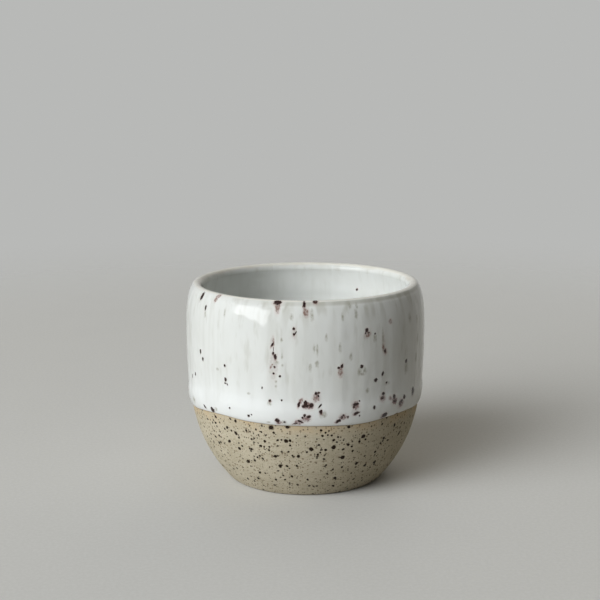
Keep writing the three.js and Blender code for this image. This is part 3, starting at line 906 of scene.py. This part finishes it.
def glaze_material(name, place, thick_ramp, smeared):
    """White glaze over speckled clay.

    thick_ramp says how thick the coat is along an attribute, place. smeared is how strongly upright smears
    show where the coat is thin.
    """
    shader = Shader(name)
    clouds = shader.noise(*CLOUDS)
    streaks = shader.noise(*STREAKS)
    past_lip = shader.attribute("past_lip")
    smears_and_shade_to_right = shader.ease(shader.parts(shader.millimetres)[0], *RIGHT_SHADE_RAMP)

    def below_lip(ramps, streak_ramp):
        """Streaky smears, and painted shade under the bead, in a band below the lip, between two ramps,
        stronger towards the right.
        """
        band = [shader.ease(past_lip, *ramp) for ramp in ramps]
        return shader.times(*band, shader.ease(streaks, *streak_ramp), smears_and_shade_to_right)

    def on_lip(middle, ramp):
        return shader.ease(shader.math("ABSOLUTE", shader.plus(past_lip, -middle)), *ramp)

    uneven = shader.times(shader.plus(clouds, -NOISE_MIDDLE), CLOUD_SHARE)
    body = shader.math("ADD", shader.ease(shader.attribute(place), *thick_ramp), uneven, clamp=True)
    thin = shader.math("SUBTRACT", 1, body)
    smear = shader.plus(
        shader.ease(shader.noise(*SMEARS), *SMEAR_RAMP),
        shader.ease(streaks, *STREAK_RAMP),
        below_lip(HANG_RAMPS, HANG_STREAK_RAMP),
    )
    core, halo, veil, fringe = shader.marks(GLAZE_RAGGED)
    colour = shader.layered(
        shader.mix(body, THIN_GLAZE, THICK_GLAZE),
        (shader.times(smear, smeared), thin, SMEAR_AND_SHADE),
        # cream bead on the lip, partly a painted highlight where its top catches the light
        (on_lip(BEAD_PLACE, BEAD_RAMP), BEAD_SHARE, LIP_CREAM_AND_HIGHLIGHT),
        (on_lip(CREST_PLACE, CREST_RAMP), shader.ease(clouds, *CREST_CLOUD_RAMP), LIP_BREAK),
        # painted shade under the lip's bead, partly thin glaze
        (below_lip(UNDER_BEAD_SHADE_RAMPS, UNDER_BEAD_SHADE_STREAK_RAMP), 1, SMEAR_AND_SHADE),
        (fringe, FRINGE_SHARE, FRINGE),
        (veil, VEIL_SHARE, VEIL),
        (halo, HALO_SHARE, shader.mix(thin, MAROON, BROWN)),
        (core, 1, IRON),
    )
    relief = [(shader.noise(*noise), depth) for *noise, depth in GLAZE_RELIEF]
    height = shader.total((core, -MARK_DEPTH), (halo, -HALO_DEPTH), *relief)
    return shader.finish(shader.principled({
        "Base Color": colour,
        "Roughness": shader.plus(shader.total((clouds, CLOUD_DULL), (core, MARK_DULL)), GLOSS),
        "Normal": shader.bump(height),
        "IOR": GLAZE_IOR,
    }))


# Clay
CLAY = (0.435, 0.385, 0.28)
PALE_CLAY = (0.59, 0.537, 0.418)
FLASH = (0.52, 0.395, 0.24)  # toasted band under the glaze
# dark line just under the glaze's edge: partly brown clay, partly painted shade under the rolled edge
EDGE_LINE_AND_SHADE = (0.2, 0.125, 0.07)
FAINT_GRAIN = (0.17, 0.125, 0.075)
GRAIN = (0.02, 0.011, 0.006)
MOTTLE, MOTTLE_SHARE = ((7, 7, 4), 3, 0.55), 0.6
SAND, SAND_SHARE, SAND_DEPTH = ((0.55, 0.55, 0.45), 3, 0.7), 1.1, 0.035
LINES, LINE_SHARE, LINE_DEPTH = ((60, 60, 0.5), 3, 0.6), 0.25, 0.03
CLAY_RAMP = (0.66, 1.28)
FLASH_RAMP = (5, 0)
FLASH_MOTTLE_RAMP = (0.35, 0.65, 0.15, 0.75)
EDGE_LINE_AND_SHADE_RAMP = (0.35, 0, 0, 0.75)
CLAY_RAGGED = 1.5
GRAIN_CELLS = ((1.3, 0.42), (0.75, 0.36))  # size of a cell, and of its largest grain as a share of it
FAINT_GRAIN_CELLS = (0.85, 0.52)
GRAIN_POWER = 3  # how few grains are large
GRAIN_EDGE = 0.03
GRAIN_SHARE, FAINT_GRAIN_SHARE, GRAIN_HALO_SHARE = 0.85, 0.7, 0.35
GRAIN_DEPTH = 0.04
CLAY_DULL_RAMP = (0, 1, 0.86, 0.5)  # grains are glossier than the clay
CLAY_IOR, CLAY_SPECULAR = 1.45, 0.15


def clay_material(name):
    """Bare speckled stoneware, toasted in a band under the glaze."""
    shader = Shader(name)
    mottle = shader.noise(*MOTTLE)
    sand = shader.noise(*SAND)
    lines = shader.noise(*LINES)

    def grains(size, largest):
        distance, colour = shader.cells(size)
        limit = shader.times(shader.math("POWER", shader.parts(colour)[0], GRAIN_POWER), largest)
        return shader.ease(shader.math("SUBTRACT", limit, distance), -GRAIN_EDGE, GRAIN_EDGE)

    tone = shader.total((mottle, MOTTLE_SHARE), (sand, SAND_SHARE), (lines, LINE_SHARE))
    below = shader.attribute("below_glaze")
    core, halo, *_ = shader.marks(CLAY_RAGGED)
    small = shader.chain("MAXIMUM", [grains(*cells) for cells in GRAIN_CELLS])
    dark = shader.math("MAXIMUM", core, shader.times(small, GRAIN_SHARE))
    colour = shader.layered(
        shader.mix(shader.ease(tone, *CLAY_RAMP), CLAY, PALE_CLAY),
        (shader.ease(below, *FLASH_RAMP), shader.ease(mottle, *FLASH_MOTTLE_RAMP), FLASH),
        # dark line under the coat's edge, partly painted shade under its roll
        (shader.ease(below, *EDGE_LINE_AND_SHADE_RAMP), 1, EDGE_LINE_AND_SHADE),
        (grains(*FAINT_GRAIN_CELLS), FAINT_GRAIN_SHARE, FAINT_GRAIN),
        (halo, GRAIN_HALO_SHARE, FLASH),
        (dark, 1, GRAIN),
    )
    height = shader.total((sand, SAND_DEPTH), (lines, LINE_DEPTH), (dark, -GRAIN_DEPTH))
    return shader.finish(shader.principled({
        "Base Color": colour,
        "Roughness": shader.ease(dark, *CLAY_DULL_RAMP),
        "Normal": shader.bump(height),
        "IOR": CLAY_IOR,
        "Specular IOR Level": CLAY_SPECULAR,
    }))


# Stage, with the floor and the lamp in metres
FLOOR_RADIUS = 0.75
FLOOR_SPOKES = 96
FLOOR_FADE = (220, 600)  # millimetres from the cup
FLOOR = (0.64, 0.64, 0.622)
FLOOR_GRAIN = (0.69, 0.69, 0.676)
FLOOR_BOUNCE = (0.385, 0.368, 0.33)
FLOOR_GRAINS, FLOOR_GRAIN_DEPTH = ((1.2, 1.2, 1.2), 3, 0.7), 0.01
FLOOR_GRAIN_RAMP = (0.35, 0.7, 0, 0.7)
FLOOR_PATCHES, FLOOR_PATCH_SHARE = ((30, 30, 30), 2, 0.5), 0.3
FLOOR_ROUGHNESS, FLOOR_SPECULAR = 0.55, 0.25
BACKDROP = (0.48, 0.485, 0.475)
FILL = 0.03
FILL_COLOUR = (1, 0.9, 0.76)
# Bright sides of the studio: strength, narrowness, colour, angle and elevation
BRIGHT_SIDES = (
    (8.7, 20, (0.98, 1, 1.01), radians(-47), radians(30)),
    (0.45, 6, (1, 0.94, 0.81), radians(-170), radians(45)),
    (0.85, 8, (1, 0.94, 0.81), radians(145), radians(30)),
)
LAMP_SIZE = (0.9, 0.48)
LAMP_DISTANCE = 1.3
LAMP_ANGLE = radians(-53)
LAMP_ELEVATION = radians(19.5)
LAMP_ROLL = radians(-14)
LAMP_POWER = 5.8
LAMP_COLOUR = (0.97, 0.99, 1)


def make_floor():
    disc = bmesh.new()
    bmesh.ops.create_circle(disc, cap_ends=True, segments=FLOOR_SPOKES, radius=FLOOR_RADIUS)
    mesh = bpy.data.meshes.new("floor")
    disc.to_mesh(mesh)
    disc.free()
    mesh.materials.append(floor_material())
    floor = add_object("floor", mesh)


def floor_material():
    """Pale floor that fades into the backdrop away from the cup."""
    shader = Shader("pale_floor")
    grain = shader.noise(*FLOOR_GRAINS)
    patches = shader.times(shader.noise(*FLOOR_PATCHES), FLOOR_PATCH_SHARE)
    tone = shader.plus(shader.ease(grain, *FLOOR_GRAIN_RAMP), patches)
    stone = shader.principled({
        "Base Color": shader.mix(shader.shown(), FLOOR_BOUNCE, shader.mix(tone, FLOOR, FLOOR_GRAIN)),
        "Roughness": FLOOR_ROUGHNESS,
        "Specular IOR Level": FLOOR_SPECULAR,
        "Normal": shader.bump(shader.times(grain, FLOOR_GRAIN_DEPTH)),
    })
    clear = shader.node("BsdfTransparent")[0]
    share = shader.ease(shader.vector("LENGTH", shader.millimetres), *FLOOR_FADE)
    return shader.finish(shader.node("MixShader", {0: share, 1: stone, 2: clear})[0])


def aimed(angle, elevation):
    """Unit vector towards an angle round the cup and an elevation."""
    out = cos(elevation)
    return np.array((out * sin(angle), -out * cos(angle), sin(elevation)))


def make_light():
    lamp = bpy.data.lights.new("softbox", "AREA")
    lamp.shape = "RECTANGLE"
    lamp.size, lamp.size_y = LAMP_SIZE
    lamp.energy = LAMP_POWER
    lamp.color = LAMP_COLOUR
    holder = add_object("softbox", lamp)
    holder.location = LAMP_DISTANCE * aimed(LAMP_ANGLE, LAMP_ELEVATION)
    aim = Matrix.Rotation(LAMP_ANGLE, 3, "Z") @ Matrix.Rotation(pi / 2 - LAMP_ELEVATION, 3, "X")
    holder.rotation_euler = (aim @ Matrix.Rotation(LAMP_ROLL, 3, "Z")).to_euler()


def make_world():
    """Studio with bright sides in front and behind. The camera and reflections see a plain pale backdrop."""
    world = bpy.data.worlds.new("studio")
    world.use_nodes = True
    nodes = Nodes(world.node_tree)
    direction = nodes.node("TexCoord")["Generated"]
    light = nodes.node("Background", {"Color": FILL_COLOUR, "Strength": FILL})[0]
    for strength, narrowness, colour, angle, elevation in BRIGHT_SIDES:
        towards = nodes.vector("DOT_PRODUCT", direction, aimed(angle, elevation))
        share = nodes.math("POWER", nodes.math("MAXIMUM", towards, 0), narrowness)
        side = nodes.node("Background", {"Color": colour, "Strength": nodes.times(share, strength)})[0]
        light = nodes.node("AddShader", {0: light, 1: side})[0]
    backdrop = nodes.node("Background", {"Color": BACKDROP})[0]
    surface = nodes.node("MixShader", {0: nodes.shown(), 1: light, 2: backdrop})[0]
    nodes.node("OutputWorld", {"Surface": surface})
    bpy.context.scene.world = world


def make_camera():
    data = bpy.data.cameras.new("camera")
    data.sensor_width = SENSOR_WIDTH
    data.lens = SENSOR_WIDTH * FOCAL_PIXELS / PICTURE_SIZE
    data.clip_start = CAMERA_CLIP
    camera = add_object("camera", data)
    camera.location = CAMERA_PLACE * MM
    camera.rotation_euler = (pi / 2 - CAMERA_PITCH, 0, 0)
    bpy.context.scene.camera = camera


def dress(piece, node, material):
    """The piece stands for a CAD node and has its slot's finish."""
    piece.data.materials.append(material)
    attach(piece, "root")
    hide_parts(node)


make_camera()
make_light()
make_world()
make_floor()
clay = clay_material("speckled_stoneware")
coat_glaze = glaze_material("dipped_white_glaze", "above_edge", COAT_RAMP, COAT_SMEARED)
liner_glaze = glaze_material("poured_white_glaze", "past_lip", LINER_RAMP, LINER_SMEARED)
dress(make_body(), "stoneware_body", clay)
dress(make_coat(), "outer_glaze", coat_glaze)
dress(make_liner(), "liner_glaze", liner_glaze)
bpy.context.scene.view_settings.view_transform = "Standard"
